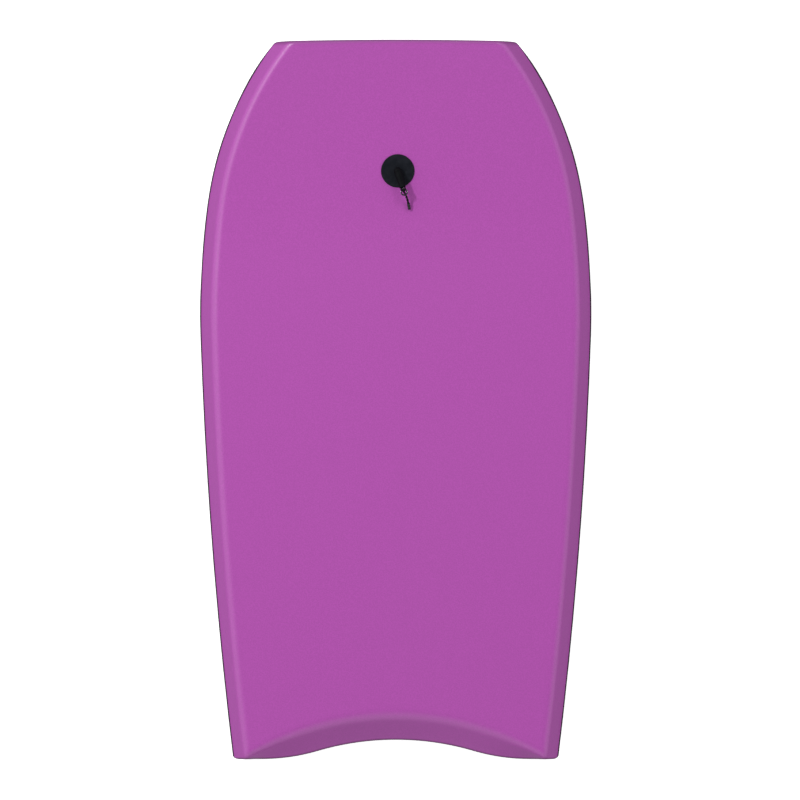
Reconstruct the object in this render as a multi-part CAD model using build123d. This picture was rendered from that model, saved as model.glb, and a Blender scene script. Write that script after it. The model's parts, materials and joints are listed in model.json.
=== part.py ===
from build123d import *
import os
from math import atan2, cos, degrees, hypot, pi, radians, sin, sqrt

# A bodyboard, flat side down, in millimetres. The origin is below the middle of its box, on the
# surface that it lies on. +Y points to the nose, +Z up through the deck and +X to the rider's right
# as the deck is seen with the nose up. Each solid in parts/ is one separate piece.

# ---------------------------------------------------------------- driving dimensions of the board
LENGTH = 940.0            # nose to tail
WIDTH = 512.0             # over the black rails, at the widest station
THICKNESS = 56.0          # bottom of the slick to the top of the deck
WIDEST_Y = 107.0          # station of the widest point
FORE_RADIUS = 1150.0      # outline from the widest point towards the nose, then the nose arc
FORE_TURN = 7.3
NOSE_SIDE_RADIUS = 450.0
AFT_RADIUS = 525.0        # short hip behind the widest point, then the long flank to the tail
AFT_TURN = 1.85
FLANK_RADIUS = 6300.0
ROCKER_RUN = 290.0        # length of the nose that curves up
NOSE_LIFT = 33.0          # rise of the bottom at the nose
NOSE_BOW_RADIUS = 5700.0  # the nose line is nearly straight
NOSE_CORNER_RADIUS = 12.0
TAIL_CORNER_RADIUS = 8.0
CRESCENT_DEPTH = 25.0     # hollow of the tail between its two pegs
CRESCENT_RADIUS = 361.0
PEG_RADIUS = 250.0        # round from the hollow into each peg
TAIL_BEVEL_REACH = 57.6   # middle of the tail bevel's upper edge, from the tail's end
TAIL_BEVEL_RADIUS = 367.0
TAIL_UNDERCUT = 8.0       # how much further back the bevel would meet the bottom plane
BEVEL_WIDTH = 15.0        # the upper rail's slope, seen from above
CREST_EASE = 6.0          # each side of the rounded crest between deck and bevel
RAIL_HEIGHT = 23.0        # the joint line between the deck skin and the lower rail
RAIL_LAND = 1.5           # upright edge of the lower rail, under the joint line
RAIL_LIP = 1.6            # the lower rail stands out this far beyond the deck skin
LOWER_INSET = 14.0        # the bottom's edge, in from the rail's edge

# ---------------------------------------------------------------- layers
SKIN = 4.0                # closed-cell deck skin, and the strips at the nose and tail
RAIL_STRIP = 5.0          # black lower rail
SLICK = 1.4               # solid sheet of the bottom
CORE_EDGE = 1.5           # the core's blunt edge, each side of the joint line
CORE_EASE = 3.0           # each side of the core's rounded crest
RAIL_END = 7.0            # each rail turns this far round the nose and tail corners

# ---------------------------------------------------------------- leash plug
PLUG_X = 2.7              # set a little to the right of the middle
PLUG_FROM_NOSE = 171.0
FLANGE_DIAMETER = 43.6
FLANGE_THICKNESS = 2.4
FLANGE_SEAT = 0.8         # how deep each flange is let into its skin
FLANGE_CHAMFER = 0.8
STEM_DIAMETER = 17.0      # hollow stem under the upper flange
STEM_LENGTH = 38.0
STEM_BORE = 13.0
WEB = 4.0                 # solid thickness of the upper flange over the stem's bore
SCREW_STEM_LENGTH = 32.0
SLOT_LENGTH, SLOT_WIDTH, SLOT_DEPTH = 24.0, 3.4, 1.2
FOAM_CLEARANCE = 0.5      # around the stem in the foam
SEAT_CLEARANCE = 0.2      # around each flange in its seat
THREAD_CLEARANCE = 0.2    # round the screw's stem, which stands for its thread
RUNNING_CLEARANCE = 0.05  # radial, in a bore that something turns in
SLIDING_GAP = 0.3         # between faces that turn past each other

# ---------------------------------------------------------------- swivel horn and its eye
PIN_DIAMETER = 6.0
PIN_HEAD_DIAMETER, PIN_HEAD_HEIGHT = 10.4, 2.0
PIN_COLLAR_DIAMETER, PIN_COLLAR_HEIGHT = 8.2, 1.4
KNUCKLE_RADIUS = 5.4
KNUCKLE_RISE = 3.6        # centre of the knuckle above the horn's flat underside
ARM_BEARING = 17.3        # degrees to the right of straight towards the tail
ARM_TILT = 16.5           # degrees up from the deck
ARM_LENGTH = 23.2
ARM_ROOT_RADIUS, ARM_END_RADIUS = 5.3, 4.2
ARM_END_ROUND = 1.4
EYE_OUTER_DIAMETER = 9.8
EYE_WIRE = 2.0
SHANK_SHOWN = 1.2         # bare shank between the arm and the eye
SHANK_DIAMETER = 2.6
SHANK_BURIED = 8.0
SHANK_HEAD_DIAMETER, SHANK_HEAD_HEIGHT = 4.6, 1.6

# ---------------------------------------------------------------- string
STRING_DIAMETER = 3.0     # over its two twisted strands
STRAND_DIAMETER = 1.5
HITCH_ANGLE = 30.0        # each turn round the eye's wire, from the shank
HITCH_GAP = 0.1
KNOT_RADIUS = 2.5
SLEEVE_DIAMETER = 4.0
SLEEVE_LENGTH = 9.0
# Route of the string in the plug's own frame: right, towards the nose, up from the deck.
STRING_ROUTE = [
    (6.5, -23.7, 15.8),
    (10.1, -29.8, 11.7),
    (12.4, -36.3, 8.0),
    (14.0, -43.2, 5.1),
    (15.3, -50.3, 3.4),
]
ARC_SHARE = 0.45          # of the shorter run, taken by the arc at a corner

# ---------------------------------------------------------------- construction, not on the object
STATIONS = 21             # cross-sections along the board
OVERRUN = 20.0            # the lofts run past the nose and tail, which are cut afterwards
SPILL = 5.0               # how far a rough solid passes the face that trims it
FAR = 1.5 * max(LENGTH, WIDTH)
CORNER_FLARE = 4.0        # degrees, so that the plan's cut leaves the side at the corners
BEVEL_OVERRUN = 1.0       # how far above the deck the tail's slanted cut is drawn
SAME_PLACE = 0.001        # two points closer than this are one corner

HALF_LENGTH = LENGTH / 2
HALF_WIDTH = WIDTH / 2
ROCKER_START = HALF_LENGTH - ROCKER_RUN
ROCKER_RADIUS = (ROCKER_RUN**2 + NOSE_LIFT**2) / (2 * NOSE_LIFT)
PLUG_Y = HALF_LENGTH - PLUG_FROM_NOSE
FLANGE_PROUD = FLANGE_THICKNESS - FLANGE_SEAT
LAND_Z = RAIL_HEIGHT - RAIL_LAND


# ================================================================ the board's outline and profile
def lift(y):
    """Rise of the bottom at a station."""
    run = max(0.0, y - ROCKER_START)
    return ROCKER_RADIUS - sqrt(ROCKER_RADIUS**2 - run**2)


def outline_arc(y):
    """Centre and radius of the outline's arc that holds a station."""
    if y > WIDEST_Y:
        near, turn, far, way = FORE_RADIUS, radians(FORE_TURN), NOSE_SIDE_RADIUS, 1
    else:
        near, turn, far, way = AFT_RADIUS, radians(AFT_TURN), FLANK_RADIUS, -1
    if abs(y - WIDEST_Y) <= near * sin(turn):
        return HALF_WIDTH - near, WIDEST_Y, near
    step = near - far
    return HALF_WIDTH - near + step * cos(turn), WIDEST_Y + way * step * sin(turn), far


def half_width(y):
    """Half of the board's width at a station."""
    centre_x, centre_y, radius = outline_arc(y)
    return centre_x + sqrt(radius**2 - (y - centre_y) ** 2)


def slant(y):
    """How much wider a band square to the outline looks when it is cut across the board."""
    _, centre_y, radius = outline_arc(y)
    return radius / sqrt(radius**2 - (y - centre_y) ** 2)


def side_bearing(y):
    """Degrees by which the outline leans in towards the middle line as it goes to the nose."""
    _, centre_y, radius = outline_arc(y)
    return degrees(atan2(y - centre_y, sqrt(radius**2 - (y - centre_y) ** 2)))


BEVEL_DROP = THICKNESS - RAIL_HEIGHT
BEVEL_SLOPE = hypot(BEVEL_WIDTH, BEVEL_DROP)
LOWER_SLOPE = hypot(LOWER_INSET, LAND_Z)


def bevel_inset(z, inward=0.0):
    """Distance in from the rail's edge to the upper slope at a height, or to a layer under it."""
    across = BEVEL_WIDTH * (z - RAIL_HEIGHT) / BEVEL_DROP
    return RAIL_LIP + across + inward * BEVEL_SLOPE / BEVEL_DROP


def lower_inset(z, inward=0.0):
    """Distance in from the rail's edge to the lower slope at a height, or to a layer inside it."""
    return LOWER_INSET * (LAND_Z - z) / LAND_Z + inward * LOWER_SLOPE / LAND_Z


def crest(corner_z, inward, ease):
    """Control points of a rounded crest: on the slope, at the corner and on the flat."""
    corner = bevel_inset(corner_z, inward)
    along, down = ease * BEVEL_WIDTH / BEVEL_SLOPE, ease * BEVEL_DROP / BEVEL_SLOPE
    return [(corner - along, corner_z - down), (corner, corner_z), (corner + ease, corner_z)]


def section(y, side, ease=None):
    """One closed cross-section from (inset, height) points of its right side, from the bottom up.

    ease holds the three control points of a rounded crest that follow them, if it has one."""
    wide, scale, rise = half_width(y), slant(y), lift(y)

    def place(points, sign):
        return [(sign * (wide - inset * scale), z + rise) for inset, z in points]

    right, left = place(side, 1), place(side, -1)
    edges = []
    if ease:
        for sign, line in ((1, right), (-1, left)):
            bend = place(ease, sign)
            line.append(bend[0])
            edges.append(Bezier(*bend))
        edges.append(Line(place(ease, 1)[2], place(ease, -1)[2]))
    else:
        edges.append(Line(right[-1], left[-1]))
    for line in (right, left):
        edges += [Line(a, b) for a, b in zip(line, line[1:])]
    edges.append(Line(right[0], left[0]))
    return Plane.XZ.offset(-y).location * make_face(Wire(edges))


def along_board(side, ease=None):
    """The solid through one cross-section's shape at every station."""
    start, step = -HALF_LENGTH - OVERRUN, (LENGTH + 2 * OVERRUN) / (STATIONS - 1)
    return loft([section(start + i * step, side, ease) for i in range(STATIONS)])


def layer(low, high):
    """Everything between two heights over the board's curved bottom, wider than the board."""
    end = HALF_LENGTH + 2 * OVERRUN
    half_run = (end + ROCKER_START) / 2

    def curve(height):
        mid, last = (half_run, lift(half_run) + height), (end, lift(end) + height)
        return [
            Line((-FAR, height), (ROCKER_START, height)),
            ThreePointArc((ROCKER_START, height), mid, last),
        ]

    rim = curve(low) + curve(high)
    rim.append(Line((-FAR, low), (-FAR, high)))
    rim.append(Line((end, lift(end) + low), (end, lift(end) + high)))
    side = Plane.YZ.offset(-FAR).location * make_face(Wire(rim))
    return extrude(side, amount=2 * FAR, dir=(1, 0, 0))


# ================================================================ the plan: nose line and crescent tail
PEG_REACH = sqrt(
    (CRESCENT_RADIUS + PEG_RADIUS) ** 2 - (CRESCENT_RADIUS + PEG_RADIUS - CRESCENT_DEPTH) ** 2
)
MEET_SHARE = CRESCENT_RADIUS / (CRESCENT_RADIUS + PEG_RADIUS)
MEET_X = PEG_REACH * MEET_SHARE
HOLLOW_Y = -HALF_LENGTH + CRESCENT_DEPTH


def tail_line(reach, shift):
    """The tail's outline from right to left as five edges, out to reach on each side."""
    tail = -HALF_LENGTH + shift
    hollow = HOLLOW_Y + shift
    centre_y = tail + PEG_RADIUS
    crescent_y = hollow - CRESCENT_RADIUS
    meet_y = crescent_y + MEET_SHARE * (centre_y - crescent_y)
    half_turn = atan2(PEG_REACH - MEET_X, centre_y - meet_y) / 2
    mid = (PEG_REACH - PEG_RADIUS * sin(half_turn), centre_y - PEG_RADIUS * cos(half_turn))
    return [
        Line((reach, tail), (PEG_REACH, tail)),
        ThreePointArc((PEG_REACH, tail), mid, (MEET_X, meet_y)),
        ThreePointArc((MEET_X, meet_y), (0, hollow), (-MEET_X, meet_y)),
        ThreePointArc((-MEET_X, meet_y), (-mid[0], mid[1]), (-PEG_REACH, tail)),
        Line((-PEG_REACH, tail), (-reach, tail)),
    ]


def bevel_line(reach):
    """The upper edge of the tail bevel, as five edges over the same widths as the tail's outline."""
    centre_y = -HALF_LENGTH + TAIL_BEVEL_REACH - TAIL_BEVEL_RADIUS

    def on(x):
        return x, centre_y + sqrt(TAIL_BEVEL_RADIUS**2 - x**2)

    stops = [reach, PEG_REACH, MEET_X, -MEET_X, -PEG_REACH, -reach]
    return [ThreePointArc(on(a), on((a + b) / 2), on(b)) for a, b in zip(stops, stops[1:])]


def behind(edges, reach):
    """The region between a line across the tail and a far line behind it."""
    start, end = edges[0] @ 0, edges[-1] @ 1
    rim = [
        Line(end, (-reach, -FAR)),
        Line((-reach, -FAR), (reach, -FAR)),
        Line((reach, -FAR), start),
    ]
    return make_face(Wire(edges + rim))


def tail_cut(shift=0.0):
    """The waste behind the slanted tail face, moved towards the nose by shift."""
    reach = HALF_WIDTH + SPILL
    top = Pos(0, shift, THICKNESS + BEVEL_OVERRUN) * behind(bevel_line(reach), reach)
    bottom = Pos(0, shift, 0) * behind(tail_line(reach, -TAIL_UNDERCUT), reach)
    below = extrude(bottom, amount=-SPILL)
    above = extrude(top, amount=SPILL)
    return loft([bottom, top], ruled=True) + below + above


def plan(inward=0.0):
    """The board's plan, cut square at the nose and to the crescent at the tail; open at the sides."""
    nose_half, tail_half = half_width(HALF_LENGTH), half_width(-HALF_LENGTH)
    corner_y = HALF_LENGTH - NOSE_BOW_RADIUS + sqrt(NOSE_BOW_RADIUS**2 - nose_half**2)
    side = HALF_WIDTH + 2 * SPILL + inward
    nose_lean = radians(side_bearing(HALF_LENGTH) + CORNER_FLARE)
    tail_lean = radians(CORNER_FLARE - side_bearing(-HALF_LENGTH))
    nose_y = corner_y - (side - nose_half) / abs(sin(nose_lean)) * cos(nose_lean)
    tail_y = -HALF_LENGTH + (side - tail_half) / abs(sin(tail_lean)) * cos(tail_lean)
    edges = tail_line(tail_half, 0.0)
    edges.append(ThreePointArc((-nose_half, corner_y), (0, HALF_LENGTH), (nose_half, corner_y)))
    for sign in (-1, 1):
        edges.append(Line((sign * tail_half, -HALF_LENGTH), (sign * side, tail_y)))
        edges.append(Line((sign * side, tail_y), (sign * side, nose_y)))
        edges.append(Line((sign * side, nose_y), (sign * nose_half, corner_y)))
    face = make_face(Wire(edges))
    for half, y, radius in (
        (nose_half, corner_y, NOSE_CORNER_RADIUS),
        (tail_half, -HALF_LENGTH, TAIL_CORNER_RADIUS),
    ):
        corners = [v for v in face.vertices() if hypot(abs(v.X) - half, v.Y - y) < SAME_PLACE]
        face = fillet(corners, radius)
    return offset(face, amount=-inward) if inward else face


def trim(solid, inward=0.0):
    """Cuts a rough solid to the plan and to the slanted tail face, or to layers inside them."""
    prism = extrude(Pos(0, 0, -SPILL) * plan(inward), amount=2 * THICKNESS + NOSE_LIFT)
    return (solid & prism) - tail_cut(inward * TAIL_FACE_SLANT)


TAIL_FACE_RUN = TAIL_BEVEL_REACH - CRESCENT_DEPTH + TAIL_UNDERCUT
TAIL_FACE_SLANT = hypot(TAIL_FACE_RUN, THICKNESS) / THICKNESS


# ================================================================ the plug's place
PLUG_SLOPE = (PLUG_Y - ROCKER_START) / sqrt(ROCKER_RADIUS**2 - (PLUG_Y - ROCKER_START) ** 2)
PLUG_LEAN = atan2(PLUG_SLOPE, 1.0)
PLUG_PLANE = Plane(
    origin=(PLUG_X, PLUG_Y, THICKNESS + lift(PLUG_Y)),
    x_dir=(1, 0, 0),
    z_dir=(0, -sin(PLUG_LEAN), cos(PLUG_LEAN)),
)
THROUGH = THICKNESS * cos(PLUG_LEAN)   # deck to bottom along the plug's axis
HORN_FLAT = FLANGE_PROUD + SLIDING_GAP
KNUCKLE_Z = HORN_FLAT + KNUCKLE_RISE
UPRIGHT = (Align.CENTER, Align.CENTER, Align.MIN)


def rod(diameter, low, high):
    """A round solid on a frame's own axis."""
    return Pos(0, 0, low) * Cylinder(diameter / 2, high - low, align=UPRIGHT)


def at_plug(shape):
    """Moves a shape from the plug's own frame to the board."""
    return PLUG_PLANE.location * shape


def plug_hole():
    """The hole for the stem, with a seat for a flange at each end."""
    seat = FLANGE_DIAMETER + 2 * SEAT_CLEARANCE
    hole = rod(STEM_DIAMETER + 2 * FOAM_CLEARANCE, -THROUGH - SPILL, SPILL)
    hole += rod(seat, -FLANGE_SEAT, SPILL)
    hole += rod(seat, -THROUGH - SPILL, -THROUGH + FLANGE_SEAT)
    return at_plug(hole)


# ================================================================ the board's layers
def make_core():
    """Bead-foam core, inset from every face by the layer that covers it."""
    side = [
        (lower_inset(-SPILL, RAIL_STRIP), -SPILL),
        (lower_inset(RAIL_HEIGHT - CORE_EDGE, RAIL_STRIP), RAIL_HEIGHT - CORE_EDGE),
        (bevel_inset(RAIL_HEIGHT + CORE_EDGE, SKIN), RAIL_HEIGHT + CORE_EDGE),
    ]
    rough = along_board(side, crest(THICKNESS - SKIN, SKIN, CORE_EASE))
    return trim(rough & layer(SLICK, THICKNESS + FAR), SKIN)


def make_deck_skin(core):
    """Deck skin: the deck, both upper rail slopes, the nose face and the tail bevel in one sheet."""
    rough = along_board([(bevel_inset(0), 0.0)], crest(THICKNESS, 0.0, CREST_EASE))
    return trim(rough & layer(RAIL_HEIGHT, THICKNESS + FAR)) - core - plug_hole()


def lower_body():
    """Everything under the joint line, to the outside of the lower rails."""
    top = RAIL_HEIGHT + SPILL
    side = [(lower_inset(-SPILL), -SPILL), (0.0, LAND_Z), (0.0, top)]
    return trim(along_board(side))


def make_slick(body):
    """Bottom sheet."""
    return (body & layer(0.0, SLICK)) - plug_hole()


def make_edge_strips(body, core):
    """The lower rails on both sides, and the strips that close the nose and the tail."""
    band = (body & layer(SLICK, RAIL_HEIGHT)) - core
    reach = HALF_LENGTH - CRESCENT_DEPTH - TAIL_BEVEL_REACH
    nose_width = 2 * (half_width(HALF_LENGTH) - RAIL_END)
    tail_width = 2 * (half_width(-HALF_LENGTH) - RAIL_END)
    nose = Pos(0, reach, 0) * Box(nose_width, FAR, FAR, align=(Align.CENTER, Align.MIN, Align.CENTER))
    tail = Pos(0, -reach, 0) * Box(tail_width, FAR, FAR, align=(Align.CENTER, Align.MAX, Align.CENTER))
    sides = (band - nose - tail).solids().sort_by(Axis.X)
    return {
        "nose_strip": band & nose,
        "tail_strip": band & tail,
        "left_rail": sides[0],
        "right_rail": sides[-1],
    }


# ================================================================ leash plug
def make_plug_flange():
    """Upper flange of the leash plug with its hollow stem and the bore that the pin turns in."""
    disc = rod(FLANGE_DIAMETER, -FLANGE_SEAT, FLANGE_PROUD)
    disc = chamfer(disc.edges().group_by(Axis.Z)[-1], FLANGE_CHAMFER)
    stem = rod(STEM_DIAMETER, -STEM_LENGTH, 0)
    bore = rod(STEM_BORE, -STEM_LENGTH - SPILL, FLANGE_PROUD - WEB)
    bearing = rod(PIN_DIAMETER + 2 * RUNNING_CLEARANCE, -SPILL, SPILL)
    return at_plug(disc + stem - bore - bearing)


def make_plug_screw():
    """Lower flange, which screws up into the stem and clamps the board."""
    low = -THROUGH - FLANGE_PROUD
    disc = rod(FLANGE_DIAMETER, low, low + FLANGE_THICKNESS)
    disc = chamfer(disc.edges().group_by(Axis.Z)[0], FLANGE_CHAMFER)
    stem = rod(STEM_BORE - 2 * THREAD_CLEARANCE, low, low + SCREW_STEM_LENGTH)
    slot = Pos(0, 0, low) * Box(SLOT_LENGTH, SLOT_WIDTH, 2 * SLOT_DEPTH)
    return at_plug(disc + stem - slot)


# ================================================================ horn, eye and string
def arm_frame():
    """Frame on the horn's arm, in the plug's frame: Z out along the arm, X level across it."""
    bearing, tilt = radians(ARM_BEARING), radians(ARM_TILT)
    out = (sin(bearing) * cos(tilt), -cos(bearing) * cos(tilt), sin(tilt))
    return Plane(origin=(0, 0, KNUCKLE_Z), x_dir=(cos(bearing), sin(bearing), 0), z_dir=out).location


EYE_RADIUS = (EYE_OUTER_DIAMETER - EYE_WIRE) / 2
EYE_CENTRE = ARM_LENGTH + SHANK_SHOWN + EYE_OUTER_DIAMETER / 2


def make_pin():
    """Steel pin with a head under the flange and a collar that the horn is moulded round."""
    head_top = FLANGE_PROUD - WEB - SLIDING_GAP
    pin = rod(PIN_DIAMETER, head_top, KNUCKLE_Z + PIN_COLLAR_HEIGHT)
    pin += rod(PIN_HEAD_DIAMETER, head_top - PIN_HEAD_HEIGHT, head_top)
    pin += rod(PIN_COLLAR_DIAMETER, KNUCKLE_Z, KNUCKLE_Z + PIN_COLLAR_HEIGHT)
    return at_plug(pin)


def shank(clearance, gap):
    """The eye's shank and its head inside the arm, or the space that they turn in."""
    inner = ARM_LENGTH - SHANK_BURIED
    body = rod(SHANK_DIAMETER + 2 * clearance, inner, EYE_CENTRE - EYE_RADIUS)
    head = rod(SHANK_HEAD_DIAMETER + 2 * gap, inner - SHANK_HEAD_HEIGHT - gap, inner + gap)
    return body + head


def make_horn(pin):
    """Moulded elbow that lies back over the flange: a knuckle on the pin and a tapering arm."""
    arm = Cone(ARM_ROOT_RADIUS, ARM_END_RADIUS, ARM_LENGTH, align=UPRIGHT)
    arm = fillet(arm.edges().group_by(Axis.Z)[-1], ARM_END_ROUND)
    arm -= shank(RUNNING_CLEARANCE, SLIDING_GAP)
    horn = arm_frame() * arm + Pos(0, 0, KNUCKLE_Z) * Sphere(KNUCKLE_RADIUS)
    horn -= Pos(0, 0, HORN_FLAT) * Box(FAR, FAR, FAR, align=(Align.CENTER, Align.CENTER, Align.MAX))
    return at_plug(horn) - pin


def eye_loop(gap=0.0):
    """The eye's ring in the arm's frame, or the space that it needs."""
    return Pos(0, 0, EYE_CENTRE) * Rot(90, 0, 0) * Torus(EYE_RADIUS, EYE_WIRE / 2 + gap)


def make_eye():
    """Steel eye with a headed shank that turns in the arm."""
    return at_plug(arm_frame() * (eye_loop() + shank(0, 0)))


def make_hitch():
    """The string's two turns round the eye's wire, one each side of the shank, and its knot."""
    strand = STRAND_DIAMETER / 2
    turn = EYE_WIRE / 2 + HITCH_GAP + strand
    bearing = radians(HITCH_ANGLE)
    x, z = EYE_RADIUS * sin(bearing), EYE_CENTRE - EYE_RADIUS * cos(bearing)
    eye_space = eye_loop(HITCH_GAP / 2) + shank(HITCH_GAP / 2, 0)
    hitch = Pos(*STRING_ROUTE[0]) * Sphere(KNOT_RADIUS) - arm_frame() * eye_space
    for sign in (-1, 1):
        lean = Rot(0, sign * (90 - HITCH_ANGLE), 0)
        hitch += arm_frame() * (Pos(sign * x, 0, z) * lean * Torus(turn, strand))
    return at_plug(hitch)


def route_radii(points):
    """The largest arc at each corner that leaves most of each run straight."""
    corners = [Vector(*p) for p in points]
    radii = []
    for before, here, after in zip(corners, corners[1:], corners[2:]):
        turn = radians((here - before).get_angle(after - here))
        shorter = min((here - before).length, (after - here).length)
        radii.append(ARC_SHARE * shorter / (sin(turn / 2) / cos(turn / 2)))
    return radii


def string_path(points):
    """Straight runs joined by tangent arcs."""
    return FilletPolyline(*points, radius=route_radii(points))


def tube(path, diameter):
    """A round solid along a path."""
    start = Plane(origin=path @ 0, z_dir=path % 0)
    return sweep(start * Circle(diameter / 2), path=path)


def make_string(hitch):
    """Twisted string from its knot to its end, as a plain tube."""
    path = string_path(STRING_ROUTE)
    solid = tube(path, STRING_DIAMETER)
    ratio = solid.volume / (path.length * pi * (STRING_DIAMETER / 2) ** 2)
    print("string radii", [round(r, 1) for r in route_radii(STRING_ROUTE)])
    print(f"string length {path.length:.2f}, volume over section times length {ratio:.4f}")
    return at_plug(solid) - hitch


def make_sleeve():
    """Crimped sleeve over the string's end."""
    path = string_path(STRING_ROUTE)
    end, way = path @ 1, path % 1
    frame = Plane(origin=end - way * SLEEVE_LENGTH, z_dir=way).location
    outer = rod(SLEEVE_DIAMETER, 0, SLEEVE_LENGTH)
    outer = chamfer(outer.edges().group_by(Axis.Z)[0], (SLEEVE_DIAMETER - STRING_DIAMETER) / 4)
    return at_plug(frame * outer)


def build():
    """Every piece by name."""
    core = make_core()
    body = lower_body()
    pieces = {"deck_skin": make_deck_skin(core), "bottom_slick": make_slick(body)}
    pieces.update(make_edge_strips(body, core))
    pieces["core"] = core - plug_hole()
    pieces["plug_flange"] = make_plug_flange()
    pieces["plug_screw"] = make_plug_screw()
    pieces["swivel_pin"] = make_pin()
    pieces["horn"] = make_horn(pieces["swivel_pin"])
    pieces["eye_ring"] = make_eye()
    pieces["string_hitch"] = make_hitch()
    pieces["leash_string"] = make_string(pieces["string_hitch"])
    pieces["string_end"] = make_sleeve()
    pieces["leash_string"] -= pieces["string_end"]
    return pieces


os.makedirs("parts", exist_ok=True)
for name, piece in build().items():
    export_step(piece, f"parts/{name}.step")
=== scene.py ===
"""Bodyboard: foam skins, leash plug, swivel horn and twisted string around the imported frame.

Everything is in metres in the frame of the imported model: +Y to the nose, +Z up through the deck.
"""

import json
import logging
import math
from dataclasses import dataclass, field
from enum import Enum
from typing import Any, Callable, Optional, Union

import bpy
from mathutils import Matrix, Vector

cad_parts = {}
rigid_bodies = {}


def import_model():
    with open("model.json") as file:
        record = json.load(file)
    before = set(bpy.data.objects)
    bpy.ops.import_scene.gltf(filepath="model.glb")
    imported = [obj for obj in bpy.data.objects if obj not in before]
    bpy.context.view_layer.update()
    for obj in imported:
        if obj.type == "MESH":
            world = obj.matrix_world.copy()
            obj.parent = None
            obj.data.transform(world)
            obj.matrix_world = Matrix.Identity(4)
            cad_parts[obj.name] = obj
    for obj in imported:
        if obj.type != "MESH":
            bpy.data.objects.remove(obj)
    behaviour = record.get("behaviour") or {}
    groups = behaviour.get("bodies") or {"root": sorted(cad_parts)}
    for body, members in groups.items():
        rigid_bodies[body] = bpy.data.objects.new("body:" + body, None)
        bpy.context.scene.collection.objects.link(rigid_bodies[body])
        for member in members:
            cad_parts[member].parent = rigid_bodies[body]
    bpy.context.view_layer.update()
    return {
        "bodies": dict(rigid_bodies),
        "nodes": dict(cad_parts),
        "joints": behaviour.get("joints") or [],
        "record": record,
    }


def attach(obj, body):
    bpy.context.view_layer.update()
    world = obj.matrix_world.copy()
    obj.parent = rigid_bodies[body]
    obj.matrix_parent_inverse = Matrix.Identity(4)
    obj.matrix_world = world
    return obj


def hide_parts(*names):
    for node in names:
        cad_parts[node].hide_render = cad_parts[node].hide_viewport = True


LOG = logging.getLogger("bodyboard")
MM = 0.001
Colour = tuple[float, float, float]
Point = tuple[float, float, float]


class Sum(Enum):
    """The sums that a Math node is asked for."""

    ADD = "ADD"
    SUBTRACT = "SUBTRACT"
    MULTIPLY = "MULTIPLY"
    DIVIDE = "DIVIDE"
    POWER = "POWER"
    SINE = "SINE"
    LARGER = "MAXIMUM"


def linear(red: float, green: float, blue: float) -> Colour:
    """Turns display values into scene values.

    Args:
        red: Display red from 0 to 255.
        green: Display green from 0 to 255.
        blue: Display blue from 0 to 255.

    Returns:
        The colour as linear values from 0 to 1.
    """

    def one(value: float) -> float:
        """Turns one display value into a linear one."""
        v = value / 255
        return v / 12.92 if v <= 0.04045 else ((v + 0.055) / 1.055) ** 2.4

    return one(red), one(green), one(blue)


# --------------------------------------------------------------------------------- shader language
class Socket:
    """An output of a shader node that takes part in Python expressions."""

    def __init__(self, graph: "Graph", socket: bpy.types.NodeSocket) -> None:
        """Wraps an output.

        Args:
            graph: The material's graph.
            socket: The node's output.
        """
        self.graph = graph
        self.socket = socket

    def _math(self, operation: Sum, *values: Any) -> "Socket":
        """Adds one Math node.

        Args:
            operation: The sum.
            values: Numbers or sockets, in order.

        Returns:
            The result.
        """
        settings = {"operation": operation.value}
        return self.graph.node("ShaderNodeMath", settings, dict(enumerate(values)))

    def __add__(self, other: Any) -> "Socket":
        """Sum."""
        return self._math(Sum.ADD, self, other)

    __radd__ = __add__

    def __sub__(self, other: Any) -> "Socket":
        """Difference."""
        return self._math(Sum.SUBTRACT, self, other)

    def __rsub__(self, other: Any) -> "Socket":
        """Difference from a number."""
        return self._math(Sum.SUBTRACT, other, self)

    def __mul__(self, other: Any) -> "Socket":
        """Product."""
        return self._math(Sum.MULTIPLY, self, other)

    __rmul__ = __mul__

    def __truediv__(self, other: Any) -> "Socket":
        """Quotient."""
        return self._math(Sum.DIVIDE, self, other)

    def __pow__(self, other: float) -> "Socket":
        """Power."""
        return self._math(Sum.POWER, self, other)

    def sine(self) -> "Socket":
        """Sine of an angle in radians."""
        return self._math(Sum.SINE, self)

    def at_least(self, low: float) -> "Socket":
        """The larger of the value and a number."""
        return self._math(Sum.LARGER, self, low)

    def smooth(self, low: float, high: float) -> "Socket":
        """Rises smoothly from 0 at low to 1 at high.

        Args:
            low: Value that gives 0.
            high: Value that gives 1.

        Returns:
            The mask.
        """
        return self.graph.node(
            "ShaderNodeMapRange",
            {"interpolation_type": "SMOOTHSTEP"},
            {"Value": self, "From Min": low, "From Max": high},
        )


Value = Union[Socket, float, int, Colour, tuple[float, ...]]


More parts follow.
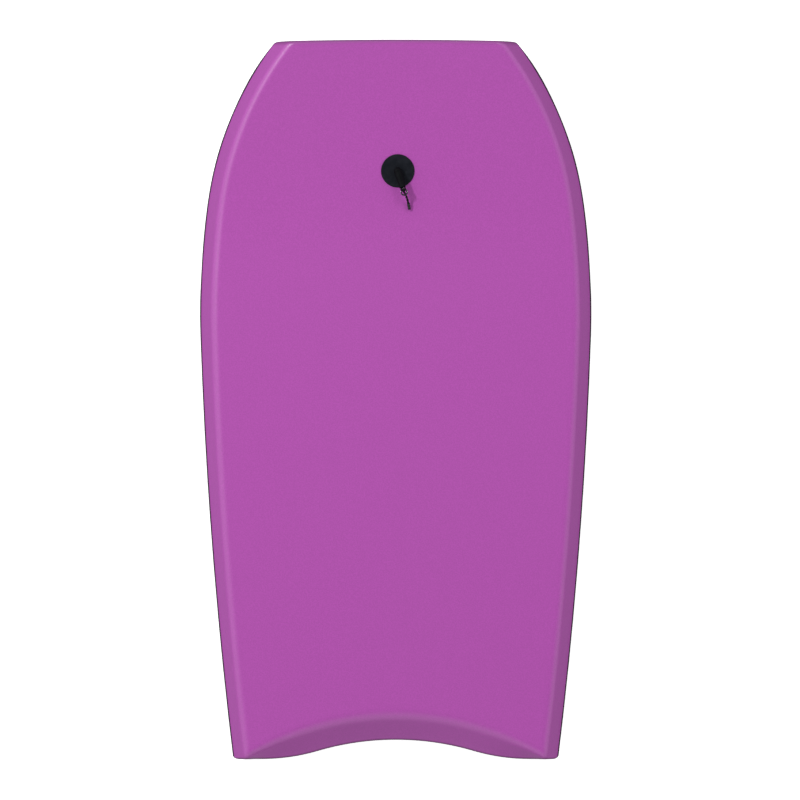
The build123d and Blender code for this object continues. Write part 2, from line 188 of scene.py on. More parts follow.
class Graph:
    """A material's node graph, with a Principled shader at its end."""

    def __init__(self, name: str) -> None:
        """Makes an empty material.

        Args:
            name: The material's name.
        """
        self.material = bpy.data.materials.new(name)
        self.material.use_nodes = True
        self.tree = self.material.node_tree
        self.shader = self.tree.nodes["Principled BSDF"]
        self.made: dict[str, Socket] = {}

    def node(
        self,
        kind: str,
        settings: Optional[dict[str, Any]] = None,
        values: Optional[dict[Any, Value]] = None,
        output: Union[int, str] = 0,
    ) -> Socket:
        """Adds any node.

        Args:
            kind: The node's type.
            settings: Its properties, set first.
            values: Numbers, colours or sockets for its inputs, by name or number.
            output: The output that is wanted.

        Returns:
            That output.
        """
        made = self.tree.nodes.new(kind)
        for name, value in (settings or {}).items():
            setattr(made, name, value)
        for name, value in (values or {}).items():
            self._feed(made.inputs[name], value)
        return Socket(self, made.outputs[output])

    def _feed(self, target: bpy.types.NodeSocket, value: Value) -> None:
        """Links or sets one input.

        Args:
            target: The input.
            value: A socket to link, or a number, vector or colour to set.
        """
        if isinstance(value, Socket):
            self.tree.links.new(value.socket, target)
        elif isinstance(value, tuple) and len(value) == 3 and target.type == "RGBA":
            target.default_value = (*value, 1.0)
        else:
            target.default_value = value

    def place(self) -> Socket:
        """The surface point in metres."""
        if "place" not in self.made:
            self.made["place"] = self.node("ShaderNodeTexCoord", output="Object")
        return self.made["place"]

    def plan(self) -> tuple[Socket, Socket]:
        """The surface point's places across and along the board."""
        kind, values = "ShaderNodeSeparateXYZ", {0: self.place()}
        return self.node(kind, values=values, output=0), self.node(kind, values=values, output=1)

    def stretch(self, vector: Socket, scale: Point) -> Socket:
        """Scales a vector along each axis.

        Args:
            vector: The vector.
            scale: Scale along each axis.

        Returns:
            The scaled vector.
        """
        settings = {"operation": "MULTIPLY"}
        return self.node("ShaderNodeVectorMath", settings, {0: vector, 1: scale})

    def attribute(self, name: str) -> Socket:
        """A number stored on the mesh."""
        return self.node("ShaderNodeAttribute", {"attribute_name": name}, output="Fac")

    def noise(self, vector: Socket, scale: float, detail: float = 2.0, rough: float = 0.5) -> Socket:
        """Cloud noise from 0 to 1.

        Args:
            vector: Where it is read.
            scale: Cells in a metre.
            detail: Octaves.
            rough: Weight of the finer octaves.

        Returns:
            The noise.
        """
        values = {"Vector": vector, "Scale": scale, "Detail": detail, "Roughness": rough}
        return self.node("ShaderNodeTexNoise", values=values, output="Fac")

    def cells(self, vector: Socket, scale: float) -> Socket:
        """Distance inside random cells."""
        return self.node("ShaderNodeTexVoronoi", values={"Vector": vector, "Scale": scale})

    def mix(self, factor: Value, first: Value, second: Value) -> Socket:
        """Mixes two colours.

        Args:
            factor: Share of the second.
            first: Colour where the factor is 0.
            second: Colour where the factor is 1.

        Returns:
            The mixed colour.
        """
        settings = {"data_type": "RGBA"}
        return self.node("ShaderNodeMix", settings, {0: factor, 6: first, 7: second}, output=2)

    def bump(self, height: Socket, distance: float) -> Socket:
        """Surface normal from a height.

        Args:
            height: Height from 0 to 1.
            distance: What a height of 1 stands for, in metres.

        Returns:
            The normal.
        """
        values = {"Height": height, "Distance": distance, "Strength": 1.0}
        return self.node("ShaderNodeBump", values=values, output="Normal")

    def finish(self, **values: Value) -> bpy.types.Material:
        """Feeds the shader.

        Args:
            values: Inputs of the shader, with underscores for spaces.

        Returns:
            The finished material.
        """
        for name, value in values.items():
            self._feed(self.shader.inputs[name.replace("_", " ")], value)
        return self.material


class Sky(Graph):
    """The studio's surroundings as light from every direction."""

    def __init__(self, world: bpy.types.World) -> None:
        """Takes over a world's nodes.

        Args:
            world: The world.
        """
        self.tree = world.node_tree
        self.shader = self.tree.nodes["Background"]

    def fill(self, walls: float, ceiling: float, below: float) -> None:
        """Sets the light of each zone.

        Args:
            walls: Light from the sides.
            ceiling: Light from straight above.
            below: Light from under the horizon.
        """
        ray = self.node("ShaderNodeTexCoord", output="Generated")
        height = self.node("ShaderNodeSeparateXYZ", values={0: ray}, output=2)
        above = height.smooth(0.6, 0.95)
        under = height.smooth(0.05, -0.3)
        level = walls + above * (ceiling - walls) + under * (below - walls)
        self._feed(self.shader.inputs["Color"], (1.0, 1.0, 1.0))
        self._feed(self.shader.inputs["Strength"], level)


# --------------------------------------------------------------------------------- finishes
@dataclass(frozen=True)
class NoseShade:
    """Painted shade along the nose edge, which darkens its foam."""

    start: float                 # stations where the painted shade begins and ends
    end: float
    bow: float                   # radius of the nose edge seen from above
    depth: float                 # how dark its last millimetre is

    def mask(self, graph: Graph) -> Socket:
        """How much painted shade the nose edge gets at a point.

        Args:
            graph: The material's graph.

        Returns:
            The mask.
        """
        across, along = graph.plan()
        return (along + across * across / (2 * self.bow)).smooth(self.start, self.end) * self.depth


@dataclass(frozen=True)
class TailShade:
    """A thin line of painted shade along the edge of the tail."""

    hollow_y: float = -0.806          # the round hollow in the middle of the tail
    hollow_radius: float = 0.361
    hollow_half: float = 0.102        # where the hollow passes into the shoulders
    shoulder_x: float = 0.173         # the round shoulder at each side of the hollow
    shoulder_y: float = -0.220
    shoulder_radius: float = 0.250
    width: float = 0.0030
    depth: float = 0.9
    reach: float = -0.400             # station where the tail edge ends

    def mask(self, graph: Graph) -> Socket:
        """How much painted shade the tail edge gets at a point.

        Args:
            graph: The material's graph.

        Returns:
            The mask.
        """
        across, along = graph.plan()
        side = (across * across) ** 0.5
        hollow = (across * across + (along - self.hollow_y) ** 2) ** 0.5 - self.hollow_radius
        short = (self.shoulder_x - side).at_least(0.0)
        drop = self.shoulder_y - along
        shoulder = self.shoulder_radius - (short * short + drop * drop) ** 0.5
        outer = side.smooth(self.hollow_half - 2 * MM, self.hollow_half + 2 * MM)
        gap = hollow * (1 - outer) + shoulder * outer
        at_tail = 1 - along.smooth(self.reach - 20 * MM, self.reach)
        return (1 - gap.smooth(0.0, self.width)) * at_tail * self.depth


@dataclass(frozen=True)
class FoamFinish:
    """Closed-cell foam with a heat-fused skin; its masks add painted shade near the nose and tail edges.
    """

    name: str
    colour: Colour
    shade: float = 0.90       # darkest grain, as a share of the colour
    cell: float = 0.0011      # size of the skin's grain
    clouds: float = 7.0       # broad patches in a metre
    streaks: float = 55.0     # drawn streaks in a metre
    patchy: float = 0.12      # how much the patches and streaks show
    painted_edge_shade: float = 0.2       # colour of the painted shade on the nose and tail edges, as a share of the colour
    relief: float = 0.00012
    roughness: float = 0.38
    specular: float = 0.75
    # masks of painted shade on the nose and tail edges
    painted_shades: tuple[Union[NoseShade, TailShade], ...] = ()

    def build(self) -> bpy.types.Material:
        """Makes the material.

        Returns:
            The foam.
        """
        graph = Graph(self.name)
        where = graph.place()
        fine = graph.noise(where, 1 / self.cell, detail=3.0, rough=0.62)
        pores = graph.cells(where, 0.62 / self.cell)
        broad = graph.noise(where, self.clouds, detail=3.0)
        drawn = graph.noise(graph.stretch(where, (1.0, 0.22, 1.0)), self.streaks, detail=2.0)
        grain = (fine * 0.7 + pores * 0.5).smooth(0.25, 0.85)
        dark = tuple(c * self.shade for c in self.colour)
        pale = tuple(min(1.0, c * (2 - self.shade)) for c in self.colour)
        base = graph.mix(grain, dark, pale)
        cloud = (broad * 0.6 + drawn * 0.4).smooth(0.3, 0.7) * self.patchy
        base = graph.mix(cloud, base, dark)
        painted_edge_shade = tuple(c * self.painted_edge_shade for c in self.colour)
        # painted shade: darkens the foam towards the nose and tail edges
        for shade_mark in self.painted_shades:
            base = graph.mix(shade_mark.mask(graph), base, painted_edge_shade)
        rough = self.roughness + (fine - 0.5) * 0.12 + (broad - 0.5) * 0.06
        normal = graph.bump(fine * 0.6 + pores * 0.4, self.relief)
        return graph.finish(
            Base_Color=base,
            Roughness=rough,
            Normal=normal,
            Specular_IOR_Level=self.specular,
        )


@dataclass(frozen=True)
class MouldedFinish:
    """Moulded plastic with a fine spark texture and scattered paler, rougher rubbed patches."""

    name: str
    colour: Colour
    grain: float = 0.0005     # size of the spark texture
    rubs: float = 180.0       # rubbed patches in a metre
    relief: float = 0.00003
    roughness: float = 0.42
    specular: float = 0.5

    def build(self) -> bpy.types.Material:
        """Makes the material.

        Returns:
            The plastic.
        """
        graph = Graph(self.name)
        where = graph.place()
        spark = graph.noise(where, 1 / self.grain, detail=3.0, rough=0.6)
        rub = graph.noise(where, self.rubs, detail=3.0)
        pale = tuple(c * 1.5 + 0.003 for c in self.colour)
        base = graph.mix(rub.smooth(0.35, 0.75) * 0.6 + spark * 0.25, self.colour, pale)
        rough = self.roughness + (rub - 0.5) * 0.2 + (spark - 0.5) * 0.1
        return graph.finish(
            Base_Color=base,
            Roughness=rough,
            Normal=graph.bump(spark, self.relief),
            Specular_IOR_Level=self.specular,
        )


@dataclass(frozen=True)
class SlickFinish:
    """Solid sheet with long fine lines from its rollers and light sliding scuffs."""

    name: str
    colour: Colour
    lines: float = 700.0      # roller lines in a metre
    scuffs: float = 90.0
    relief: float = 0.00004
    roughness: float = 0.3

    def build(self) -> bpy.types.Material:
        """Makes the material.

        Returns:
            The sheet.
        """
        graph = Graph(self.name)
        where = graph.place()
        lines = graph.noise(graph.stretch(where, (1.0, 0.02, 1.0)), self.lines, detail=2.0)
        scuffs = graph.noise(graph.stretch(where, (1.0, 0.06, 1.0)), self.scuffs, detail=4.0)
        broad = graph.noise(where, 5.0)
        pale = tuple(c * 1.7 + 0.008 for c in self.colour)
        mark = scuffs.smooth(0.62, 0.78)
        base = graph.mix(mark * 0.5 + broad * 0.15, self.colour, pale)
        rough = self.roughness + mark * 0.22 + (lines - 0.5) * 0.1
        return graph.finish(
            Base_Color=base,
            Roughness=rough,
            Normal=graph.bump(lines * 0.6 + scuffs * 0.4, self.relief),
        )


@dataclass(frozen=True)
class SteelFinish:
    """Polished wire with fine drawing lines and dulled patches."""

    name: str
    colour: Colour
    lines: float = 1500.0     # drawing lines in a metre
    dulled: float = 400.0     # dulled patches in a metre
    relief: float = 0.00001
    roughness: float = 0.2

    def build(self) -> bpy.types.Material:
        """Makes the material.

        Returns:
            The steel.
        """
        graph = Graph(self.name)
        where = graph.place()
        lines = graph.noise(graph.stretch(where, (1.0, 1.0, 6.0)), self.lines, detail=2.0)
        dull = graph.noise(where, self.dulled, detail=3.0).smooth(0.4, 0.7)
        base = graph.mix(dull * 0.4, self.colour, tuple(c * 0.7 for c in self.colour))
        return graph.finish(
            Base_Color=base,
            Metallic=1.0,
            Roughness=self.roughness + dull * 0.15 + (lines - 0.5) * 0.08,
            Normal=graph.bump(lines, self.relief),
        )


@dataclass(frozen=True)
class YarnFinish:
    """Twisted fibre yarn: fine filaments lie across each strand at the twist's slope."""

    name: str
    colour: Colour
    hairs: float = 2600.0     # loose hairs in a metre
    relief: float = 0.00009
    roughness: float = 0.62
    specular: float = 0.15

    def build(self) -> bpy.types.Material:
        """Makes the material.

        Returns:
            The yarn.
        """
        graph = Graph(self.name)
        where = graph.place()
        turns = graph.attribute("filament")
        ridge = (turns * (2 * math.pi)).sine() * 0.5 + 0.5
        fuzz = graph.noise(where, self.hairs, detail=3.0)
        pale = tuple(c * 2.0 + 0.003 for c in self.colour)
        base = graph.mix(ridge * 0.55 + fuzz * 0.35, self.colour, pale)
        return graph.finish(
            Base_Color=base,
            Roughness=self.roughness + (fuzz - 0.5) * 0.2,
            Normal=graph.bump(ridge * 0.7 + fuzz * 0.3, self.relief),
            Specular_IOR_Level=self.specular,
        )


MAGENTA = linear(177, 78, 173)
# painted shade: a darker nose edge, and a thin dark line along the tail edge
NOSE_SHADE = NoseShade(start=0.4630, end=0.4716, bow=5.7, depth=0.78)
TAIL_SHADE = TailShade()
DECK = FoamFinish("sealed_deck_foam", MAGENTA, painted_shades=(NOSE_SHADE, TAIL_SHADE))
NOSE = FoamFinish("nose_foam", MAGENTA, roughness=0.5, painted_shades=(NOSE_SHADE,))
TAIL = FoamFinish("tail_foam", MAGENTA, roughness=0.5, painted_shades=(TAIL_SHADE,))
RAIL = FoamFinish("black_rail_foam", linear(24, 22, 26), shade=0.7, roughness=0.55)
CORE = FoamFinish("bead_foam", (0.82, 0.82, 0.81), cell=0.0035, shade=0.93, relief=0.0003)
SLICK = SlickFinish("rolled_slick", linear(30, 30, 33))
PLUG = MouldedFinish("moulded_plug", linear(17, 20, 27), specular=0.22)
HORN = MouldedFinish("moulded_horn", linear(5, 7, 10), roughness=0.6, specular=0.07)
STEEL = SteelFinish("dark_polished_steel", (0.075, 0.073, 0.077), roughness=0.14)
STRING = YarnFinish("twisted_yarn", linear(9, 8, 11))
SLEEVE = MouldedFinish("glossy_sleeve", linear(11, 12, 17), roughness=0.18, relief=0.00001, specular=0.45)


# --------------------------------------------------------------------------------- mesh helpers
def mesh_object(
    name: str,
    points: list[Point],
    faces: list[tuple[int, ...]],
    material: bpy.types.Material,
) -> bpy.types.Object:
    """Makes a smoothly shaded mesh object with one material.

    Args:
        name: The object's name.
        points: Vertices in metres.
        faces: Rings of vertex numbers.
        material: Its material.

    Returns:
        The object, linked to the scene.
    """
    mesh = bpy.data.meshes.new(name)
    mesh.from_pydata(points, [], faces)
    mesh.materials.append(material)
    mesh.polygons.foreach_set("use_smooth", [True] * len(mesh.polygons))
    mesh.validate()
    mesh.update()
    made = bpy.data.objects.new(name, mesh)
    bpy.context.scene.collection.objects.link(made)
    return made


def bezier(ends: tuple[Vector, Vector, Vector], share: float) -> Vector:
    """A point on a curve that leaves the first side and joins the second.

    Args:
        ends: Start, corner and end.
        share: From 0 at the start to 1 at the end.

    Returns:
        The point.
    """
    start, corner, end = ends
    return start * (1 - share) ** 2 + corner * (2 * share * (1 - share)) + end * share**2


def tube(
    rings: list[tuple[Vector, Vector, Vector, float]],
    sides: int,
    closed: bool = False,
) -> tuple[list[Point], list[tuple[int, ...]]]:
    """Skins a row of circles.

    Args:
        rings: Centre, two directions across and radius of each circle.
        sides: Points on each circle.
        closed: Whether the last circle joins the first; otherwise both ends are capped.

    Returns:
        Vertices and faces.
    """
    points: list[Point] = []
    for centre, side, other, radius in rings:
        for k in range(sides):
            a = 2 * math.pi * k / sides
            points.append(tuple(centre + (side * math.cos(a) + other * math.sin(a)) * radius))
    faces: list[tuple[int, ...]] = []
    count = len(rings)
    for r in range(count if closed else count - 1):
        low, high = r * sides, (r + 1) % count * sides
        for k in range(sides):
            n = (k + 1) % sides
            faces.append((low + k, low + n, high + n, high + k))
    if not closed:
        faces.append(tuple(reversed(range(sides))))
        faces.append(tuple(range((count - 1) * sides, count * sides)))
    return points, faces


def lathe(name: str, frame: Matrix, profile: list[tuple[float, float]], sides: int) -> bpy.types.Object:
    """Turns a profile round an axis.

    Args:
        name: The object's name.
        frame: Where its axis and foot are.
        profile: (radius, height) pairs.
        sides: Points on each circle.

    Returns:
        A closed object without a finish of its own.
    """
    rotation = frame.to_3x3()
    side, other = rotation @ Vector((1, 0, 0)), rotation @ Vector((0, 1, 0))
    rings = [(frame @ Vector((0, 0, height)), side, other, radius) for radius, height in profile]
    points, faces = tube(rings, sides)
    mesh = bpy.data.meshes.new(name)
    mesh.from_pydata(points, [], faces)
    made = bpy.data.objects.new(name, mesh)
    bpy.context.scene.collection.objects.link(made)
    return made


# --------------------------------------------------------------------------------- the board's shape
@dataclass(frozen=True)
class BoardShape:
    """The board's outline, rocker and edges, in metres."""

    length: float = 0.940
    width: float = 0.512
    thickness: float = 0.056
    widest: float = 0.107        # station of the widest place
    fore: tuple[float, float, float] = (1.150, 7.3, 0.450)    # radius, turn in degrees, next radius
    aft: tuple[float, float, float] = (0.525, 1.85, 6.300)
    rocker_run: float = 0.290    # length over which the bottom rises to the nose
    nose_lift: float = 0.033
    nose_bow: float = 5.700      # radius of the nose edge
    nose_corner: float = 0.012
    tail_corner: float = 0.008
    tail_corner_reach: float = 0.92   # how far in the corner begins, as a share of its radius
    hollow_depth: float = 0.025
    hollow_radius: float = 0.361
    peg_radius: float = 0.250    # the round shoulders beside the hollow
    bevel_reach: float = 0.0576  # how far in the slanted tail face begins
    bevel_radius: float = 0.367
    undercut: float = 0.008
    bevel_width: float = 0.015   # the slope of the rails, seen from above
    rail_height: float = 0.023   # top of the black rails
    rail_lip: float = 0.0016

    @property
    def end(self) -> float:
        """Distance from the middle to the nose or tail."""
        return self.length / 2

    def arc(self, y: float) -> Point:
        """The outline's arc at a station.

        Args:
            y: The station.

        Returns:
            Its centre's place across and along the board, and its radius.
        """
        near, degrees, far = self.fore if y > self.widest else self.aft
        way = 1 if y > self.widest else -1
        turn = math.radians(degrees)
        half = self.width / 2
        if abs(y - self.widest) <= near * math.sin(turn):
            return half - near, self.widest, near
        step = near - far
        return half - near + step * math.cos(turn), self.widest + way * step * math.sin(turn), far

    def half_width(self, y: float) -> float:
        """Half of the board's width over its rails at a station."""
        across, along, radius = self.arc(y)
        return across + math.sqrt(radius**2 - (y - along) ** 2)

    def slant(self, y: float) -> float:
        """How much wider a band along the outline is when it is cut across the board.

        Args:
            y: The station.

        Returns:
            The ratio.
        """
        _, along, radius = self.arc(y)
        return radius / math.sqrt(radius**2 - (y - along) ** 2)

    def lift(self, y: float) -> float:
        """Rise of the bottom towards the nose.

        Args:
            y: The station.

        Returns:
            The rise.
        """
        radius = (self.rocker_run**2 + self.nose_lift**2) / (2 * self.nose_lift)
        run = max(0.0, y - (self.end - self.rocker_run))
        return radius - math.sqrt(radius**2 - run**2)

    def nose_line(self, x: float) -> float:
        """The nose edge, round its corners.

        Args:
            x: Distance from the middle line.

        Returns:
            The edge's station.
        """
        half, lean = self.half_width(self.end), math.acos(1 / self.slant(self.end))
        line = self.end - self.nose_bow + math.sqrt(self.nose_bow**2 - min(x, half) ** 2)
        corner = self.end - self.nose_bow + math.sqrt(self.nose_bow**2 - half**2)
        middle = half - self.nose_corner * math.tan(math.pi / 4 - lean / 2)
        if x <= middle:
            return line
        past = min(x - middle, self.nose_corner)
        return corner - self.nose_corner + math.sqrt(self.nose_corner**2 - past**2)

    def tail_line(self, x: float) -> float:
        """The tail edge, round its corners.

        Args:
            x: Distance from the middle line.

        Returns:
            The edge's station.
        """
        both = self.hollow_radius + self.peg_radius
        reach = math.sqrt(both**2 - (both - self.hollow_depth) ** 2)
        if x < reach * self.hollow_radius / both:
            top = self.hollow_depth - self.end
            return top - self.hollow_radius + math.sqrt(self.hollow_radius**2 - x**2)
        if x < reach:
            return self.peg_radius - self.end - math.sqrt(self.peg_radius**2 - (reach - x) ** 2)
        middle = self.half_width(-self.end) - self.tail_corner_reach * self.tail_corner
        past = min(max(0.0, x - middle), self.tail_corner)
        return self.tail_corner - self.end - math.sqrt(self.tail_corner**2 - past**2)

    def tail_face(self, x: float, z: float) -> float:
        """The slanted tail face.

        Args:
            x: Distance from the middle line.
            z: Height over the bottom.

        Returns:
            The face's station.
        """
        centre = self.bevel_reach - self.bevel_radius - self.end
        top = centre + math.sqrt(self.bevel_radius**2 - x**2)
        edge = self.tail_line(x)
        low = edge - self.undercut
        return max(edge, low + (top - low) * z / (self.thickness + MM))


# --------------------------------------------------------------------------------- deck skin
@dataclass
class DeckSkin:
    """The foam skin over deck, rail slopes, nose and tail, as one closed sheet."""

    shape: BoardShape
    skin: float = 0.004
    crest: float = 0.0086       # each side of the soft crest along the rails
    tail_crest: float = 0.0100
    nose_round: float = 0.0062
    ease_share: float = 0.4     # most of a face's height that its soft edge takes
    tail_slant: float = 1.25    # depth along the board for each depth into the tail face
    across: int = 26            # columns over the open deck
    along: int = 84             # rows over the open deck
    crest_steps: int = 12
    slope_steps: int = 6
    tail_steps: int = 7
    nose_steps: int = 8
    face_steps: int = 5
    shoulders: tuple[float, ...] = (0.003, 0.008, 0.018)

    def _profile(self, inward: float) -> list[tuple[float, float]]:
        """The rail from its joint line to the open deck.

        Args:
            inward: Depth under the outer surface.

        Returns:
            (distance in from the black rail's edge, height) pairs.
        """
        s = self.shape
        drop = s.thickness - s.rail_height
        slope = math.hypot(s.bevel_width, drop)
        top = s.thickness - inward
        shift = s.rail_lip + inward * slope / drop
        corner = shift + s.bevel_width * (top - s.rail_height) / drop
        ease = max(self.crest - inward, self.ease_share * self.crest)
        start = Vector((corner - ease * s.bevel_width / slope, top - ease * drop / slope))
        ends = (start, Vector((corner, top)), Vector((corner + ease, top)))
        low = Vector((shift, s.rail_height))
        rail = [low.lerp(start, i / self.slope_steps) for i in range(self.slope_steps)]
        rail += [bezier(ends, i / self.crest_steps) for i in range(self.crest_steps + 1)]
        rail += [Vector((corner + ease + step, top)) for step in self.shoulders]
        return [(p.x, p.y) for p in rail]

    def _columns(self, inward: float) -> list[tuple[float, float, float]]:
        """Columns from the left rail to the right.

        Args:
            inward: Depth under the outer surface.

        Returns:
            (share of the width between the outer columns, inset, height) for each.
        """
        rail = self._profile(inward)
        last, top = rail[-1]
        left = [(-1.0, inset, z) for inset, z in rail]
        middle = [(2 * i / self.across - 1, last, top) for i in range(1, self.across)]
        return left + middle + [(1.0, inset, z) for inset, z in reversed(rail)]

    def _x(self, column: tuple[float, float, float], y: float) -> float:
        """Distance of a column from the middle line at a station."""
        share, inset, _ = column
        return share * (self.shape.half_width(y) - inset * self.shape.slant(y))

    def _meet(self, column: tuple[float, float, float], edge: Callable[[float], float], y: float) -> float:
        """Where a column meets a line across the board.

        Args:
            column: The column.
            edge: Place of the line at a distance from the middle line.
            y: A place within 60 mm of it.

        Returns:
            The station.
        """
        low, high = y - 60 * MM, y + 60 * MM
        for _ in range(30):
            mid = (low + high) / 2
            if mid < edge(abs(self._x(column, mid))):
                low = mid
            else:
                high = mid
        return (low + high) / 2

    def _tail_rows(self, column: tuple[float, float, float], inward: float) -> list[tuple[float, float]]:
        """The slanted tail face and its soft crest on one column.

        Args:
            column: The column.
            inward: Depth under the outer surface.

        Returns:
            (station, height) pairs from the joint line up.
        """
        s, height = self.shape, column[2]
        push = inward * self.tail_slant

        def face(z: float) -> Vector:
            """The face at a height, as station and height."""
            y = self._meet(column, lambda x: s.tail_face(x, z + inward) + push, -s.end + 30 * MM)
            return Vector((y, z))

        room = height - s.rail_height
        ease = min(self.tail_crest, self.ease_share * room)
        corner = face(height)
        start = face(height - ease)
        end = corner + Vector((ease, 0))
        n = self.tail_steps
        rows = [face(s.rail_height + (start.y - s.rail_height) * i / n) for i in range(n)]
        rows += [bezier((start, corner, end), i / n) for i in range(n + 1)]
        return [(p.x, p.y) for p in rows]

    def _nose_rows(self, column: tuple[float, float, float], inward: float) -> list[tuple[float, float]]:
        """The nose's rounded edge and face on one column.

        Args:
            column: The column.
            inward: Depth under the outer surface.

        Returns:
            (station, height) pairs from the deck down.
        """
        s, height = self.shape, column[2]
        y = self._meet(column, s.nose_line, s.end - 20 * MM) - inward
        room = height - s.rail_height
        ease = min(self.nose_round, self.ease_share * room)
        turn = [math.pi / 2 * i / self.nose_steps for i in range(self.nose_steps + 1)]
        rows = [(y - ease * (1 - math.sin(a)), height - ease * (1 - math.cos(a))) for a in turn]
        steps = range(1, self.face_steps + 1)
        return rows + [(y, (height - ease) + (ease - room) * i / self.face_steps) for i in steps]

    def _surface(self, inward: float) -> tuple[list[Point], int]:
        """One side of the skin as a grid.

        Args:
            inward: Depth under the outer surface.

        Returns:
            The points, column by column, and how many there are in a column.
        """
        points: list[Point] = []
        count = 0
        for column in self._columns(inward):
            tail, nose = self._tail_rows(column, inward), self._nose_rows(column, inward)
            start, stop = tail[-1][0], nose[0][0]
            steps = [0.0, *self.shoulders]
            inner = stop - start - 2 * steps[-1]
            places = [start + step for step in steps[1:]]
            places += [start + steps[-1] + inner * i / self.along for i in range(1, self.along)]
            places += [stop - step for step in reversed(steps[1:])]
            rows = tail + [(y, column[2]) for y in places] + nose
            points += [(self._x(column, y), y, z + self.shape.lift(y)) for y, z in rows]
            count = len(rows)
        return points, count

    def build(self, material: bpy.types.Material) -> bpy.types.Object:
        """Makes the skin.

        Args:
            material: Its foam.

        Returns:
            The closed sheet.
        """
        outer, rows = self._surface(0.0)
        inner, _ = self._surface(self.skin)
        total = len(outer)
        columns = total // rows
        faces: list[tuple[int, ...]] = []
        for c in range(columns - 1):
            for r in range(rows - 1):
                a, b = c * rows + r, (c + 1) * rows + r
                faces.append((a, b, b + 1, a + 1))
                faces.append((total + a, total + a + 1, total + b + 1, total + b))
        rim = list(range(rows))
        rim += [c * rows + rows - 1 for c in range(1, columns)]
        rim += [(columns - 1) * rows + r for r in reversed(range(rows - 1))]
        rim += [c * rows for c in reversed(range(1, columns - 1))]
        for a, b in zip(rim, rim[1:] + rim[:1]):
            faces.append((a, b, total + b, total + a))
        return mesh_object("deck_foam", outer + inner, faces, material)


# --------------------------------------------------------------------------------- leash string
def frames_along(line: list[Vector]) -> list[tuple[Vector, Vector, Vector]]:
    """Frames that don't twist along a line.

    Args:
        line: Its points.

    Returns:
        (point, side, other side) at each.
    """
    frames: list[tuple[Vector, Vector, Vector]] = []
    side = Vector((1.0, 0.0, 0.0))
    for i, point in enumerate(line):
        ahead = (line[min(i + 1, len(line) - 1)] - line[max(i - 1, 0)]).normalized()
        side = (side - ahead * side.dot(ahead)).normalized()
        frames.append((point, side, ahead.cross(side)))
    return frames


def closed_frames(line: list[Vector]) -> list[tuple[Vector, Vector, Vector]]:
    """Frames along a closed line, turned a little at each point so that the ends agree.

    Args:
        line: Its points, the first not repeated.

    Returns:
        (point, side, other side) at each.
    """
    round_again = frames_along([line[-1], *line, line[0], line[1]])[1:]
    point, side, other = round_again[0]
    _, last, _ = round_again[len(line)]
    off = math.atan2(last.dot(other), last.dot(side))
    frames = []
    for i, (point, side, other) in enumerate(round_again[: len(line)]):
        a = -off * i / len(line)
        turned = side * math.cos(a) + other * math.sin(a)
        frames.append((point, turned, other * math.cos(a) - side * math.sin(a)))
    return frames


class Line:
    """A line that can be read at any distance from its start."""

    def __init__(self, points: list[Vector]) -> None:
        """Measures a line.

        Args:
            points: Its points.
        """
        self.frames = frames_along(points)
        self.marks = [0.0]
        for a, b in zip(points, points[1:]):
            self.marks.append(self.marks[-1] + (b - a).length)

    @property
    def length(self) -> float:
        """The line's length."""
        return self.marks[-1]

    def at(self, distance: float) -> tuple[Vector, Vector, Vector]:
        """The frame at a distance from the start.

        Args:
            distance: The distance.

        Returns:
            (point, side, other side).
        """
        i = 0
        while i < len(self.marks) - 2 and self.marks[i + 1] < distance:
            i += 1
        share = (distance - self.marks[i]) / (self.marks[i + 1] - self.marks[i])
        (p, a, b), (q, c, d) = self.frames[i], self.frames[i + 1]
        return p.lerp(q, share), a.lerp(c, share).normalized(), b.lerp(d, share).normalized()


@dataclass
class Yarn:
    """Round strands of yarn that are gathered into one piece."""

    name: str
    radius: float
    sides: int = 16
    filaments: int = 9
    slope: float = 0.0024        # length in which a filament moves over by one
    points: list[Point] = field(default_factory=list)
    faces: list[tuple[int, ...]] = field(default_factory=list)
    marks: list[float] = field(default_factory=list)

    def strand(self, frames: list[tuple[Vector, Vector, Vector]], closed: bool = False) -> None:
        """Adds one strand.

        Args:
            frames: (point, side, other side) along it.
            closed: Whether it is a closed loop.
        """
        rings = [(p, a, b, self.radius) for p, a, b in frames]
        points, faces = tube(rings, self.sides, closed)
        run = [0.0]
        for (p, _, _), (q, _, _) in zip(frames, frames[1:]):
            run.append(run[-1] + (q - p).length)
        whole = run[-1] + (frames[0][0] - frames[-1][0]).length
        slope = whole / max(1, round(whole / self.slope)) if closed else self.slope
        for face in faces:
            for corner in face:
                ring, k = divmod(corner, self.sides)
                turn = 1.0 if k == 0 and len(face) == 4 and self.sides - 1 in self._spots(face) else 0.0
                far = whole if closed and ring == 0 and self._wraps(face, len(frames)) else run[ring]
                self.marks.append(self.filaments * (k / self.sides + turn) + far / slope)
        start = len(self.points)
        self.points += points
        self.faces += [tuple(start + v for v in face) for face in faces]

    def _spots(self, face: tuple[int, ...]) -> list[int]:
        """Where a face's corners lie round the strand."""
        return [corner % self.sides for corner in face]

    def _wraps(self, face: tuple[int, ...], count: int) -> bool:
        """Whether a face joins the last ring to the first."""
        return max(face) // self.sides == count - 1 and min(face) // self.sides == 0

    def build(self, material: bpy.types.Material) -> bpy.types.Object:
        """Makes the piece.

        Args:
            material: Its yarn.

        Returns:
            The piece.
        """
        made = mesh_object(self.name, self.points, self.faces, material)
        store = made.data.attributes.new("filament", "FLOAT", "CORNER")
        store.data.foreach_set("value", self.marks)
        return made


